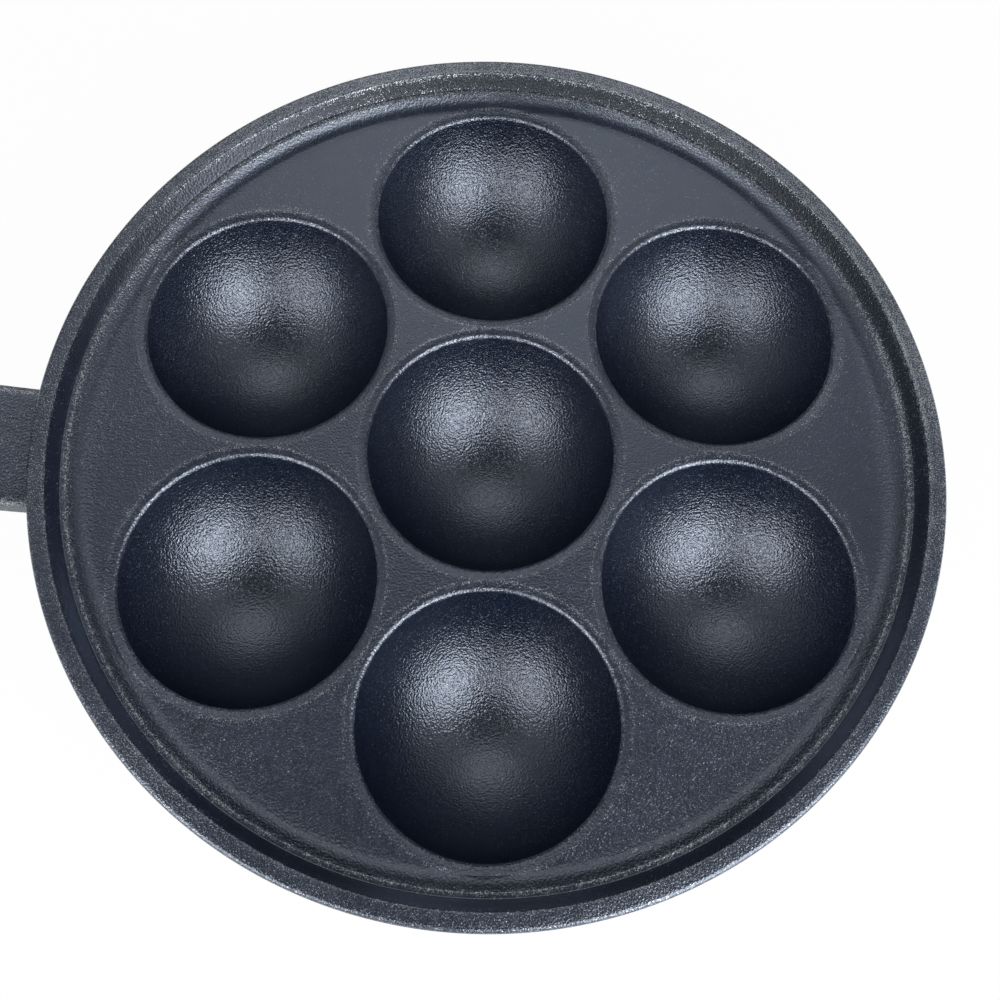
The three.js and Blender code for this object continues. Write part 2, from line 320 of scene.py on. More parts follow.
# One closed mesh from grids of points, whose rows are rings. Rings and edges that coincide are merged.
def skin(name, grids):
    points, faces, start = [], [], 0
    for grid in grids:
        rows, columns = grid.shape[:2]
        spots = start + np.arange(rows * columns).reshape(rows, columns)
        near, far = spots[:-1], spots[1:]
        quads = np.stack([near, np.roll(near, -1, 1), np.roll(far, -1, 1), far], axis=-1)
        faces.append(quads.reshape(-1, 4))
        points.append(grid.reshape(-1, 3))
        start += rows * columns
    mesh = bpy.data.meshes.new(name)
    mesh.from_pydata((np.concatenate(points) * mm).tolist(), [], np.concatenate(faces).tolist())
    shell = bmesh.new()
    shell.from_mesh(mesh)
    bmesh.ops.remove_doubles(shell, verts=shell.verts, dist=2e-7)
    bmesh.ops.recalc_face_normals(shell, faces=shell.faces)
    shell.to_mesh(mesh)
    shell.free()
    made = bpy.data.objects.new(name, mesh)
    bpy.context.scene.collection.objects.link(made)
    return made


def combined(first, second, operation):
    change = first.modifiers.new(operation.title(), "BOOLEAN")
    change.operation, change.solver, change.object = operation, "EXACT", second
    whole = bpy.data.meshes.new_from_object(first.evaluated_get(bpy.context.evaluated_depsgraph_get()))
    first.modifiers.clear()
    first.data = whole
    bpy.data.objects.remove(second)
    return first


def onHandle(station, side, up):  # from the handle's own frame to the model's
    place = handleRoot + np.multiply.outer(station, handleOut)
    return place + np.multiply.outer(side, handleSide) + np.multiply.outer(up, handleUp)


def turned(profile, steps):  # (station, radius) points turned about the handle's axis
    angle = np.arange(steps) * 2 * math.pi / steps
    return np.array([onHandle(np.full(steps, s), r * np.cos(angle), r * np.sin(angle)) for s, r in profile])


# A ring of the arm: from a flat bar with rounded edges to a circle. Its points crowd where it bends.
def armSection(station, halfWidth, halfHeight, squareness, quarter=24):
    t = np.linspace(0, math.pi / 2, 600)
    side = halfWidth * np.cos(t) ** (2 / squareness)
    up = halfHeight * np.sin(t) ** (2 / squareness)
    length = np.concatenate([[0], np.cumsum(np.hypot(np.diff(side), np.diff(up)))])
    heading = np.unwrap(np.arctan2(np.diff(up), np.diff(side)))
    turning = np.concatenate([[0], np.cumsum(np.abs(np.diff(heading, prepend=heading[0])))])
    share = (length / length[-1] + turning / turning[-1]) / 2
    pick = np.interp(np.linspace(0, 1, quarter + 1), share, t)
    a = halfWidth * np.maximum(np.cos(pick), 0) ** (2 / squareness)
    b = halfHeight * np.sin(pick) ** (2 / squareness)
    a[-1] = 0
    sides = np.concatenate([a[:-1], -a[:0:-1], -a[:-1], a[:0:-1]])
    ups = np.concatenate([b[:-1], b[:0:-1], -b[:-1], -b[:0:-1]])
    return onHandle(np.full(len(sides), station), sides, ups)


def smoothTable(table, at):  # a table of (place, value) read along smooth curves
    places, values = np.array(table, float).T
    slopes = np.gradient(values, places)
    k = int(np.clip(np.searchsorted(places, at) - 1, 0, len(places) - 2))
    span = places[k + 1] - places[k]
    t = float(np.clip((at - places[k]) / span, 0, 1))
    return ((1 + 2 * t) * (1 - t) ** 2 * values[k] + t * (1 - t) ** 2 * span * slopes[k]
            + t * t * (3 - 2 * t) * values[k + 1] + t * t * (t - 1) * span * slopes[k + 1])


def armGrid():
    length, root, barrel = handle["armLength"], handle["rootWidth"] / 2, handle["socketRadius"]
    half = handle["thickness"] / 2
    widths = [(0, root), (0.2, root), (0.42, 0.985 * root), (0.6, 0.87 * root), (0.78, 0.745 * root),
              (0.9, 0.92 * barrel), (1, 0.99 * barrel), (1.06, barrel), (1.2, barrel)]
    heights = [(0, half), (0.3, half), (0.44, 1.04 * half), (0.58, 0.42 * barrel), (0.72, 0.6 * barrel),
               (0.86, 0.85 * barrel), (0.97, 0.98 * barrel), (1.06, barrel), (1.2, barrel)]
    squareness = [(0, 9), (0.35, 9), (0.5, 6), (0.64, 3.6), (0.8, 2.5), (0.95, 2.05), (1.06, 2), (1.2, 2)]
    rings = []
    for station in np.arange(-handle["embed"], length + 0.4 * handle["socketLength"], handle["armStep"]):
        share = max(station, 0) / length
        rings.append(armSection(station, *(smoothTable(t, share) for t in (widths, heights, squareness))))
    cap = np.broadcast_to(rings[0].mean(axis=0), rings[0].shape)
    middle = [cap + (rings[0] - cap) * share for share in (0, 0.5)]
    end = rounded([
        (length + 0.5 * handle["socketLength"], barrel),
        (socketEnd, barrel, handle["socketEdge"], 5),
        (socketEnd, handle["spigotRadius"]),
        (spigotEnd, handle["spigotRadius"]),
        (spigotEnd, handle["boreRadius"]),
        (boreStart, handle["boreRadius"]),
        (boreStart, 0),
    ])
    radii = [(station, max(radius, 1e-9)) for station, radius in end]
    return np.array(middle + rings + [armSection(station, radius, radius, 2) for station, radius in radii])


def setValues(target, name, values):  # one number per vertex, for the material to read
    made = target.data.attributes.new(name, "FLOAT", "POINT")
    made.data.foreach_set("value", np.asarray(values, np.float32))


def verticesOf(target):
    co = np.zeros(len(target.data.vertices) * 3)
    target.data.vertices.foreach_get("co", co)
    return co.reshape(-1, 3) / mm


def bump(distance, width):  # 1 on a line, fading to 0 a width away
    return np.exp(-((distance / width) ** 2))


marks = {  # what the material reads: where the black is worn, where edges on the far sides are painted paler as a painted highlight, and where the grain stands out
    "mouthWidth": 0.7,  # a worn line fades over this many millimetres to either side
    "crestWidth": 0.55,
    "crestWearAndHighlight": (0.65, 0.5),  # wear all round a mouth, and on its far side more of it as a painted highlight
    "armEdgeWidth": 0.7,
    "rimEdges": [  # radius, height, width, wear all round, and a painted highlight added on the pan's far side
        (landRadius + 0.2, rimTop, 0.8, 0.35, 0.7),
        (pan["rimRadius"] - 2, rimTop, 1.8, 0.15, 0.6),
        (pan["rimRadius"] - 0.4, rimTop - 0.4, 1.1, 0.25, 0.6),
        # the pale line along the ledge's edge: partly wear, partly a painted highlight
        (ledgeInner + 0.3, plateTop + ledgeRise - 0.1, 1.0, 1.0, 0.4),
        (skirtOuter, skirtBottom, 1.2, 0.9, 0),
        (skirtInner, skirtBottom, 1.2, 0.6, 0),
    ],
    "plateGrain": (0.3, 0.7),  # everywhere, and more on the near and left sides
    "wallGrain": (0.3, 0.9),  # everywhere, and more on the far side
    "edgeGrain": 1.1,  # on the lips and the rim's flat top
    "sweepLoss": 0.5,  # of the full grain on the sweep, at the far side
    "bowlGrain": 0.4,  # more than 1 on a bowl's far side, and less on its near side
    "bowlFade": 1.2,  # millimetres below the mouth
}


def markCasting(casting):
    x, y, z = verticesOf(casting).T
    radius = np.hypot(x, y)
    away = np.array(fromCentres(x, y))
    nearest = away.min(axis=0)
    bowlY = np.array(centres)[away.argmin(axis=0), 1]
    uphill = (y - bowlY) / np.maximum(nearest, 1)  # 1 on a bowl's far side
    farther = np.clip((0.3 * x + y + 20) / 110, 0, 1)  # 1 toward the pan's far side, where edges get a painted highlight and the rim's inner wall painted shade
    nearer = np.clip((45 - 0.55 * x - 0.83 * y) / 50, 0, 1)  # the far and right sides came out smoother

    above = z > mouthZ - 1.5
    lipEnd = pan["mouthRadius"] + pan["lipWidth"]
    onSphere = np.abs(np.hypot(nearest, z - sphereZ) - bowlSphere) < 0.4
    inBowl = (nearest < pan["mouthRadius"] + 0.3) & onSphere
    onLip = (nearest > pan["mouthRadius"] - 0.3) & (nearest < lipEnd) & above
    onLand = (radius > landRadius - 0.5) & (z > rimTop - 2)
    onWall = (radius > ledgeOuter - 0.3) & (radius < landRadius - 0.2) & (z > plateTop + ledgeRise - 0.1)
    onSweep = np.clip((radius - sweepStart + 1) / 3, 0, 1) * above * (radius < ledgeOuter)

    local = verticesOf(casting) - handleRoot
    station, side, up = local @ handleOut, local @ handleSide, local @ handleUp
    onArm = (station > 0.4) & (station < handle["armLength"] * 0.75)
    armSide = np.abs(side) > 0.44 * handle["rootWidth"]
    armFlank = onArm & armSide & (np.abs(up) < handle["thickness"] / 2 - 0.3)
    outside = (radius > skirtOuter - 0.3) & (z < rimTop - 0.7) & (station < 0.4)

    mouth = bump(np.hypot(nearest - pan["mouthRadius"] - 0.05, z - mouthZ), marks["mouthWidth"])
    crest = bump(nearest - lipEnd, marks["crestWidth"]) * above * (radius < pan["topCircle"] + 0.5)
    everywhere, more = marks["crestWearAndHighlight"]
    # the far side of each crest is painted paler: a painted highlight
    crest = (everywhere + more * np.clip(uphill, 0, 1)) * crest
    # the extra on the pan's far side is a painted highlight
    rim = sum(
        (wearAndHighlight + more * farther) * bump(np.hypot(radius - r, z - h), width)
        for r, h, width, wearAndHighlight, more in marks["rimEdges"]
    )
    armEdge = bump(np.abs(up) - handle["thickness"] / 2 + 0.2, marks["armEdgeWidth"]) * onArm * armSide

    everywhere, more = marks["plateGrain"]
    grain = np.maximum(everywhere + more * nearer, onSweep * (1 - marks["sweepLoss"] * farther))
    grain = np.maximum(grain, (onLip | onLand) * marks["edgeGrain"])
    everywhere, more = marks["wallGrain"]
    grain = np.where(onWall, everywhere + more * farther, grain)
    bowlGrain = 1 + marks["bowlGrain"] * uphill * nearest / pan["mouthRadius"]

    # wear on the edges, with a painted highlight on the far sides and along the ledge
    setValues(casting, "wearAndHighlight", np.clip(mouth + crest + rim + armEdge, 0, 1))
    setValues(casting, "bowl", inBowl * np.clip((mouthZ - z) / marks["bowlFade"], 0, 1))
    setValues(casting, "lip", onLip)
    setValues(casting, "land", onLand)
    # the far side of the rim's inner wall, which the material darkens with painted shade
    setValues(casting, "wall", onWall * farther)
    setValues(casting, "outside", outside | armFlank)
    setValues(casting, "gritty", np.where(inBowl, bowlGrain, grain))


def finished(piece, material, body, node):  # edges sharper than 38 degrees stay sharp
    piece.data.materials.clear()
    piece.data.materials.append(material)
    piece.data.shade_smooth()
    piece.data.set_sharp_from_angle(angle=math.radians(38))
    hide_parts(node)
    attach(piece, body)
    return piece


# A socket of a shader, so that shader maths reads as sums.
class Wire:
    def __init__(self, paint, socket):
        self.paint, self.socket = paint, socket

    def math(self, operation, *values):
        return self.paint.node("Math", {"operation": operation}, dict(enumerate(values)))

    def __add__(self, other):
        return self.math("ADD", self, other)

    def __sub__(self, other):
        return self.math("SUBTRACT", self, other)

    def __mul__(self, other):
        return self.math("MULTIPLY", self, other)

    def __rsub__(self, other):
        return self.math("SUBTRACT", other, self)

    def atLeast(self, other):
        return self.math("MAXIMUM", self, other)

    def sine(self):
        return self.math("SINE", self)

    def ramp(self, low, high):  # 0 below low, 1 above high, soft between
        values = {"Value": self, "From Min": low, "From Max": high}
        return self.paint.node("MapRange", {"interpolation_type": "SMOOTHSTEP"}, values)

    __radd__ = __add__
    __rmul__ = __mul__


# The nodes of one material or of the world
class Paint:
    def __init__(self, owner):
        owner.use_nodes = True
        self.owner, self.tree = owner, owner.node_tree
        self.tree.nodes.clear()

    def node(self, kind, settings, values, output=0):
        made = self.tree.nodes.new("ShaderNode" + kind)
        for key, value in settings.items():
            setattr(made, key, value)
        for key, value in values.items():
            if isinstance(value, Wire):
                self.tree.links.new(value.socket, made.inputs[key])
            else:
                made.inputs[key].default_value = value
        return Wire(self, made.outputs[output]) if made.outputs else None

    def mixed(self, factor, first, second, blend="MIX"):  # colours, from first to second
        colours = [c if isinstance(c, Wire) else (*c, 1) for c in (first, second)]
        settings = {"data_type": "RGBA", "blend_type": blend}
        return self.node("Mix", settings, {0: factor, 6: colours[0], 7: colours[1]}, 2)

    def noise(self, where, scale, detail=2, roughness=0.5):
        values = {"Vector": where, "Scale": scale, "Detail": detail, "Roughness": roughness}
        return self.node("TexNoise", {}, values)

    def place(self):
        return self.node("TexCoord", {}, {}, "Object")

    def marked(self, name):
        return self.node("Attribute", {"attribute_name": name}, {}, "Fac")

    def levelled(self, where):  # turned so that the handle's axis lies along X
        return self.node("VectorRotate", {"rotation_type": "Y_AXIS"}, {"Vector": where, "Angle": rise})

    def stretched(self, where, amounts):
        return self.node("VectorMath", {"operation": "MULTIPLY"}, {0: where, 1: amounts})

    def raised(self, height):  # height in millimetres
        return self.node("Bump", {}, {"Height": height, "Distance": mm})


# A noise is its scale per metre, its detail and its roughness. Edges are the levels between which it shows.
iron = {
    "bowlColour": (0.0012, 0.0050, 0.0160),
    "plateColour": (0.0022, 0.0062, 0.0180),
    "outsideColour": (0.034, 0.032, 0.029),  # drier and browner on the rim's outer face and the arm's flanks
    "outsideShare": 0.9,
    "mottle": ((0.62, 0.62, 0.64), (1.35, 1.35, 1.33)),  # the black is multiplied by from one to the other
    "mottleByTint": 0.5,
    "mottleByPatch": 0.35,
    "mottleReach": 0.2,
    "patchNoise": (22, 3, 0.6),
    "patchEdges": (0.4, 0.7),
    "tintNoise": (260, 3, 0.65),
    "index": 2.3,  # oil baked on iron oxide shines more than plain lacquer
    "shine": (0.77, 0.85, 1.0),
    "bowlRoughness": 0.25,
    "plateRoughness": 0.30,
    "outsideRoughness": 0.28,  # more than the plate's
    "roughnessByTint": 0.10,
    "peelNoise": (1800, 1, 0.5),
    "peelHeight": 0.185,  # millimetres, in the bowls
    "grainHeight": 0.15,  # of the same noise on the plate
    "bareAndHighlightColour": (0.55, 0.58, 0.62),  # where the black has worn through, and the painted highlight on the far sides' edges
    "bareAndHighlightMetallic": 0.85,
    "hazeShare": 0.12,  # a thin wear between the specks along the worn lines, partly a painted highlight
    "hazeEdges": (0.5, 0.75),
    "speckShare": 0.8,
    "speckNoise": (3400, 1.5, 0.5),
    "speckLevel": 0.685,  # lower is more specks
    "speckSoftness": 0.08,
    "speckAtWearAndHighlight": 0.16,  # these three lower the level
    "speckOnLand": 0.025,
    "speckInPatches": 0.06,
    "speckInBowl": 0.01,  # these three raise it
    "speckOnLip": 0.05,
    "speckWhereSmooth": 0.06,
    "speckClumping": 0.16,
    "clumpNoise": (800, 1, 0.5),
    "farWallShadeColour": (0.005, 0.009, 0.017),  # painted shade: a duller copy of the iron, which darkens the far side of the rim's inner wall
    "farWallShadeRoughness": 0.55,
    "farWallShadeIndex": 1.45,
    "farWallShadeShare": 0.9,
}


def ironMaterial():
    paint = Paint(bpy.data.materials.new("SeasonedIron"))
    where = paint.place()
    bowl, wearAndHighlight, gritty = (paint.marked(name) for name in ("bowl", "wearAndHighlight", "gritty"))
    lip, land, wall, outside = (paint.marked(name) for name in ("lip", "land", "wall", "outside"))
    kinds = ("peel", "patch", "tint", "speck", "clump")
    peel, patches, tint, specks, clumps = (paint.noise(where, *iron[kind + "Noise"]) for kind in kinds)

    level = iron["speckLevel"] - wearAndHighlight * iron["speckAtWearAndHighlight"] - land * iron["speckOnLand"]
    level = level - patches.ramp(*iron["patchEdges"]) * iron["speckInPatches"]
    level = level + bowl * iron["speckInBowl"] + lip * iron["speckOnLip"]
    level = level + (1 - gritty) * iron["speckWhereSmooth"] - (clumps - 0.5) * iron["speckClumping"]
    speck = specks.ramp(level, level + iron["speckSoftness"])
    haze = wearAndHighlight * tint.ramp(*iron["hazeEdges"]) * iron["hazeShare"]
    bareAndHighlight = (speck * iron["speckShare"]).atLeast(haze)

    plain = paint.mixed(bowl, iron["plateColour"], iron["bowlColour"])
    plain = paint.mixed(outside * iron["outsideShare"], plain, iron["outsideColour"])
    shade = (tint - 0.5) * iron["mottleByTint"] + (patches - 0.5) * iron["mottleByPatch"]
    mottle = paint.mixed(shade.ramp(-iron["mottleReach"], iron["mottleReach"]), *iron["mottle"])
    toned = paint.mixed(1, plain, mottle, "MULTIPLY")
    rough = bowl * (iron["bowlRoughness"] - iron["plateRoughness"]) + iron["plateRoughness"]
    rough = rough + outside * iron["outsideRoughness"] + (tint - 0.5) * iron["roughnessByTint"]
    height = peel * gritty * (bowl * (iron["peelHeight"] - iron["grainHeight"]) + iron["grainHeight"])
    bumps = paint.raised(height)
    black = paint.node("BsdfPrincipled", {}, {
        # bare iron where worn, and a painted highlight on the far sides' edges
        "Base Color": paint.mixed(bareAndHighlight, toned, iron["bareAndHighlightColour"]),
        "Roughness": rough,
        "Metallic": bareAndHighlight * iron["bareAndHighlightMetallic"],
        "IOR": iron["index"],
        "Specular Tint": (*iron["shine"], 1),
        "Normal": bumps,
    })
    # painted shade: a duller copy of the iron for the far side of the rim's inner wall
    scale = paint.node("BsdfPrincipled", {}, {
        "Base Color": (*iron["farWallShadeColour"], 1),
        "Roughness": iron["farWallShadeRoughness"],
        "IOR": iron["farWallShadeIndex"],
        "Normal": bumps,
    })
    share = wall * (1 - bareAndHighlight) * iron["farWallShadeShare"]
    paint.node("OutputMaterial", {}, {"Surface": paint.node("MixShader", {}, {0: share, 1: black, 2: scale})})
    return paint.owner


steel = {
    "colour": (0.60, 0.60, 0.59),
    "cloudColour": (0.50, 0.50, 0.49),
    "cloudNoise": (140, 3, 0.6),
    "cloudEdges": (0.35, 0.7),
    "roughness": 0.26,
    "roughnessByLines": 0.18,
    "roughnessByClouds": 0.12,
    "turned": (2600, 90, 90),  # lines round the handle's axis, per metre along it, across and up
    "drawn": (500, 500, 500),
    "lineNoise": (1, 2, 0.6),
    "lineHeight": 0.004,
}


def steelMaterial(finish):
    paint = Paint(bpy.data.materials.new("SatinSteel" + finish.title()))
    where = paint.place()
    lines = paint.noise(paint.stretched(paint.levelled(where), steel[finish]), *steel["lineNoise"])
    clouds = paint.noise(where, *steel["cloudNoise"])
    rough = steel["roughness"] + (lines - 0.5) * steel["roughnessByLines"]
    shader = paint.node("BsdfPrincipled", {}, {
        "Base Color": paint.mixed(clouds.ramp(*steel["cloudEdges"]), steel["colour"], steel["cloudColour"]),
        "Metallic": 1.0,
        "Roughness": rough + (clouds - 0.5) * steel["roughnessByClouds"],
        "Normal": paint.raised(lines * steel["lineHeight"]),
    })
    paint.node("OutputMaterial", {}, {"Surface": shader})
    return paint.owner


wood = {
    "light": (0.40, 0.22, 0.105),
    "dark": (0.20, 0.095, 0.042),
    "ringStretch": (9, 150, 62),  # per metre along the grip, across and up
    "ringNoise": (1, 3, 0.55),
    "bendStretch": (0.12, 1, 1),
    "bendNoise": (45, 2, 0.5),
    "ringCount": 5,
    "ringBend": 1.5,
    "ringPace": 2.6,
    "ringShare": 0.75,  # of the tone, and the fibre's share
    "fibreShare": 0.25,
    "fibreStretch": (130, 2600, 2600),
    "fibreNoise": (1, 3, 0.5),
    "fibreEdges": (0.3, 0.7),
    "fibreHeight": 0.02,
    "poreColour": (0.075, 0.035, 0.018),
    "poreStretch": (260, 3400, 3400),
    "poreNoise": (1, 1, 0.5),
    "poreEdges": (0.62, 0.70),
    "poreShare": 0.7,
    "poreDepth": 0.03,
    "roughness": 0.46,
    "roughnessByFibre": 0.2,
    "roughnessByPore": 0.15,
}


def woodMaterial():
    paint = Paint(bpy.data.materials.new("OiledHardwood"))
    lined = paint.levelled(paint.place())
    kinds = ("bend", "ring", "fibre", "pore")
    bend, rings, fibre, pores = (
        paint.noise(paint.stretched(lined, wood[kind + "Stretch"]), *wood[kind + "Noise"]) for kind in kinds
    )
    bands = ((rings * wood["ringCount"] + bend * wood["ringBend"]) * wood["ringPace"]).sine()
    dark = bands.ramp(-1, 1) * wood["ringShare"] + fibre.ramp(*wood["fibreEdges"]) * wood["fibreShare"]
    tone = paint.mixed(dark, wood["light"], wood["dark"])
    pore = pores.ramp(*wood["poreEdges"])
    rough = wood["roughness"] + (fibre - 0.5) * wood["roughnessByFibre"]
    shader = paint.node("BsdfPrincipled", {}, {
        "Base Color": paint.mixed(pore * wood["poreShare"], tone, wood["poreColour"]),
        "Roughness": rough + pore * wood["roughnessByPore"],
        "Normal": paint.raised(fibre * wood["fibreHeight"] - pore * wood["poreDepth"]),
    })
    paint.node("OutputMaterial", {}, {"Surface": shader})
    return paint.owner


def makeCasting():
    inner = bowlProfile()
    under = [(r, None) for r in underProfile()]  # their heights are worked out in the grid
    lipEnd = pan["mouthRadius"] + pan["lipWidth"]
    topBends = [inner[-1][0] + step for step in (0.35, 0.75)]
    topBends += [lipEnd + step for step in (-0.4, -0.2, 0, 0.2, 0.5)]
    spread = (0.12, 0.3, 0.5, 0.75, 1)
    top = (pan["topCircle"], inner, topBends, spread, topHeight, plateHeight)
    below = (pan["underCircle"], under, pan["underBends"], spread, underHeight, flatUnder)
    grids = [rimGrid()]
    for index in range(len(centres)):
        grids += [cellGrid(index, *top), cellGrid(index, *below)]
    grids = [settle(grid.reshape(-1, 3)).reshape(grid.shape) for grid in grids]
    casting = combined(skin("PanCasting", grids), skin("Arm", [armGrid()]), "UNION")
    markCasting(casting)
    return casting


casting = makeCasting()
finished(casting, ironMaterial(), "pan", "pan_casting")
print("casting", len(casting.data.vertices), "vertices")


ferrule = {
    "radius": 13,
    "wall": 1,
    "length": 16,
    "edge": 0.45,
    "crimpBack": 4,  # from the grip's end
    "crimpHalf": 0.9,
    "crimpDepth": 0.35,
    "crimpEdge": 0.8,
}
ferruleStart = socketEnd + handle["seatGap"]
ferruleEnd = ferruleStart + ferrule["length"]


def makeFerrule():
    outer, inner = ferrule["radius"], ferrule["radius"] - ferrule["wall"]
    crimp, half, edge = ferruleEnd - ferrule["crimpBack"], ferrule["crimpHalf"], ferrule["crimpEdge"]
    profile = rounded([
        (ferruleStart, inner),
        (ferruleStart, outer, ferrule["edge"], 5),
        (crimp - half, outer, edge, 4),
        (crimp, outer - ferrule["crimpDepth"], edge, 4),
        (crimp + half, outer, edge, 4),
        (ferruleEnd, outer, ferrule["edge"], 5),
        (ferruleEnd, inner),
        (ferruleStart, inner),
    ])
    return skin("Ferrule", [turned(divided(profile, 2), 128)])


grip = {
    "length": 100,
    "front": 13.2,
    "swell": [(0.25, 14.85), (0.5, 15.6), (0.75, 14.95)],  # share of the length, radius
    "tail": 12.68,
    "tailTaper": 0.15,
    "frontEdge": 0.8,
    "tailEdge": 2.6,
    "lines": (7, 9.2, 91),  # turned grooves, millimetres from the grip's front
    "lineDepth": 0.3,
    "lineWidth": 0.55,
}
tenonStart = spigotEnd + handle["seatGap"]
gripStart = ferruleEnd + handle["seatGap"]
gripEnd = gripStart + grip["length"]


def makeGrip():
    radii = [(0, grip["front"]), *grip["swell"], (1, grip["tail"])]
    outline = []
    for share in np.linspace(0.012, 0.97, 90):
        station = gripStart + grip["length"] * share
        cut = sum(bump(station - gripStart - line, grip["lineWidth"]) for line in grip["lines"])
        outline.append((station, smoothTable(radii, share) - grip["lineDepth"] * cut))
    profile = rounded([
        (tenonStart, handle["boreRadius"]),
        (tenonStart, handle["spigotRadius"]),
        (gripStart, handle["spigotRadius"]),
        (gripStart, grip["front"], grip["frontEdge"], 5),
        *outline,
        (gripEnd, grip["tail"] - grip["tailTaper"], grip["tailEdge"], 10),
        (gripEnd, handle["boreRadius"]),
        (tenonStart, handle["boreRadius"]),
    ])
    return skin("WoodGrip", [turned(divided(profile, 3), 144)])


washer = {
    "radius": 9.5,
    "thickness": 1.4,
    "edgeThickness": 0.75,
    "dish": 0.9,
    "seat": 6.4,  # radius of the flat that the eye nut sits on
    "edges": (0.25, 0.3, 1.2),  # roundings at the back, the front and the seat
}
washerStart = gripEnd + handle["seatGap"]
washerFace = washerStart + washer["thickness"] + washer["dish"]


def makeWasher():
    back, front, seat = washer["edges"]
    profile = rounded([
        (washerStart, handle["boreRadius"]),
        (washerStart, washer["radius"], back, 3),
        (washerStart + washer["edgeThickness"], washer["radius"], front, 3),
        (washerFace, washer["seat"], seat, 5),
        (washerFace, handle["boreRadius"]),
        (washerStart, handle["boreRadius"]),
    ])
    return skin("EndWasher", [turned(divided(profile, 1), 96)])


ring = {
    "radius": 16,  # to the middle of the wire
    "wire": 1.7,
    "play": 0.6,  # in the eye
    "weldTurn": 4.0,
    "weldWidth": 0.05,
    "weldDepth": 0.05,  # of the wire's radius
}

eyeNut = {
    "collarRadius": 6,
    "collarLength": 6,
    "collarEdge": 0.8,
    "shoulderLength": 1.6,
    "shoulderDrop": 1.2,
    "shoulderEdges": (0.6, 1.2),
    "boreDepth": 4.5,
    "eyeRadius": 6.4,
    "eyeThickness": 5,
    "eyeSink": 1.2,  # into the collar
    "eyeEdge": 1.3,
    "holeEdge": 0.7,
}
collarStart = washerFace + handle["seatGap"]
collarEnd = collarStart + eyeNut["collarLength"]
eyeStation = collarEnd + eyeNut["eyeRadius"] - eyeNut["eyeSink"]


def makeEyeNut():
    radius, (first, last) = eyeNut["collarRadius"], eyeNut["shoulderEdges"]
    collar = skin("EyeNut", [turned(rounded([
        (collarStart, 0),
        (collarStart, radius, eyeNut["collarEdge"], 5),
        (collarEnd - eyeNut["shoulderLength"], radius, first, 4),
        (collarEnd, radius - eyeNut["shoulderDrop"], last, 5),
        (collarEnd, 0),
    ]), 96)])
    half, hole = eyeNut["eyeThickness"] / 2, ring["wire"] + ring["play"]
    outside = rounded([
        (hole, -half),
        (eyeNut["eyeRadius"], -half, eyeNut["eyeEdge"], 6),
        (eyeNut["eyeRadius"], half, eyeNut["eyeEdge"], 6),
        (hole, half),
    ])[1:-1]
    inside = rounded([
        (hole + 2, half),
        (hole, half, eyeNut["holeEdge"], 5),
        (hole, -half, eyeNut["holeEdge"], 5),
        (hole + 2, -half),
    ])[1:-1]
    steps = 96
    angle = np.arange(steps) * 2 * math.pi / steps
    eye = skin("Eye", [np.array([
        onHandle(eyeStation + radius * np.cos(angle), np.full(steps, side), radius * np.sin(angle))
        for radius, side in np.concatenate([outside, inside, outside[:1]])
    ])])
    combined(collar, eye, "UNION")
    boreEnd = collarStart + eyeNut["boreDepth"]
    bore = skin("Bore", [turned(np.array([
        (collarStart - 1, 0),
        (collarStart - 1, handle["boreRadius"]),
        (boreEnd, handle["boreRadius"]),
        (boreEnd, 0),
    ]), 48)])
    return combined(collar, bore, "DIFFERENCE")


def makeRing():
    around, across = 160, 28
    centre = onHandle(eyeStation, 0, 0) - [0, 0, ring["radius"]]
    section = np.arange(across) * 2 * math.pi / across
    grid = []
    for turn in np.arange(around + 1) * 2 * math.pi / around:
        fromWeld = math.remainder(turn - ring["weldTurn"], 2 * math.pi)
        weld = 1 - ring["weldDepth"] * bump(fromWeld, ring["weldWidth"])
        spoke = ring["radius"] + ring["wire"] * weld * np.cos(section)
        grid.append(np.stack([
            centre[0] + ring["wire"] * weld * np.sin(section),
            centre[1] + spoke * math.cos(turn),
            centre[2] + spoke * math.sin(turn),
        ], axis=-1))
    return skin("HangingRing", [np.array(grid)])


turnedSteel, drawnSteel = steelMaterial("turned"), steelMaterial("drawn")
finished(makeFerrule(), turnedSteel, "pan", "handle_ferrule")
finished(makeGrip(), woodMaterial(), "pan", "wood_grip")
finished(makeWasher(), turnedSteel, "pan", "end_washer")
finished(makeEyeNut(), turnedSteel, "pan", "eye_nut")
finished(makeRing(), drawnSteel, "ring", "hanging_ring")
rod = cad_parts["tie_rod"]
rod.data.materials.clear()
rod.data.materials.append(drawnSteel)
print("handle, grip and ring")

studio = {
    "floorRadius": 2500,
    "floorDrop": 0.02,
    "floorColour": (0.90, 0.90, 0.90),
    "floorGlow": 0.97,  # how much of the floor that is seen is plain white
    "ceiling": 0.02,
    "ceilingTint": (0.97, 0.985, 1.0),
    "softLights": [  # direction, how squarely it must be faced to begin and to be full, strength
        ((0, 0.47, 0.88), 0.90, 0.98, 0.50),
        ((0, 0.7, 0.7), 0.85, 0.97, 0.40),
        ((-0.64, 0.43, 0.64), 0.85, 0.97, 0.22),
        ((0.64, 0.43, 0.64), 0.85, 0.97, 0.20),
        ((-0.75, -0.1, 0.65), 0.8, 1.0, 0.23),
        ((0.75, -0.1, 0.65), 0.8, 1.0, 0.30),
        ((-0.62, -0.45, 0.64), 0.85, 0.97, 0.28),
        ((0.62, -0.45, 0.64), 0.85, 0.97, 0.28),
    ],
    "leftPlace": (-415, -500, 364),
    "leftWatts": 2.75,
    "leftTint": (1.0, 1.0, 1.0),
    "rightPlace": (330, -430, 319),
    "rightWatts": 4.15,
    "rightTint": (0.97, 0.985, 1.0),
    "lampSize": 600,
}


